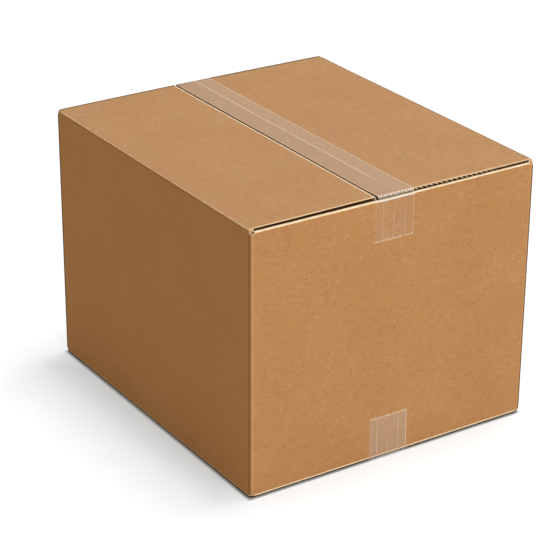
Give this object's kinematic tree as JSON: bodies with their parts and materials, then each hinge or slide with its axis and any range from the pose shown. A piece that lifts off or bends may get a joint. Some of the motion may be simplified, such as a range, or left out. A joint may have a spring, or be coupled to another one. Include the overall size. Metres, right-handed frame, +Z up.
{
  "type": "closed cardboard box",
  "caption": "Plain brown corrugated shipping box, closed, with top and bottom flaps folded in and clear packing tape along the top and bottom seams.",
  "frame": {"origin": "centre of the underside, on the surface that the box stands on", "axes": "+Z up; the seams and the long side panels run along Y; the front is the end panel at -Y"},
  "size_m": [0.35, 0.4002, 0.3],
  "materials": {
    "corrugated_board": "matt brown kraft paper, lightly mottled",
    "clear_tape": "clear packing tape, slightly hazy, satin gloss"
  },
  "bodies": {
    "root": {"carton": "corrugated_board", "top_tape": "clear_tape", "bottom_tape": "clear_tape"}
  },
  "joints": []
}
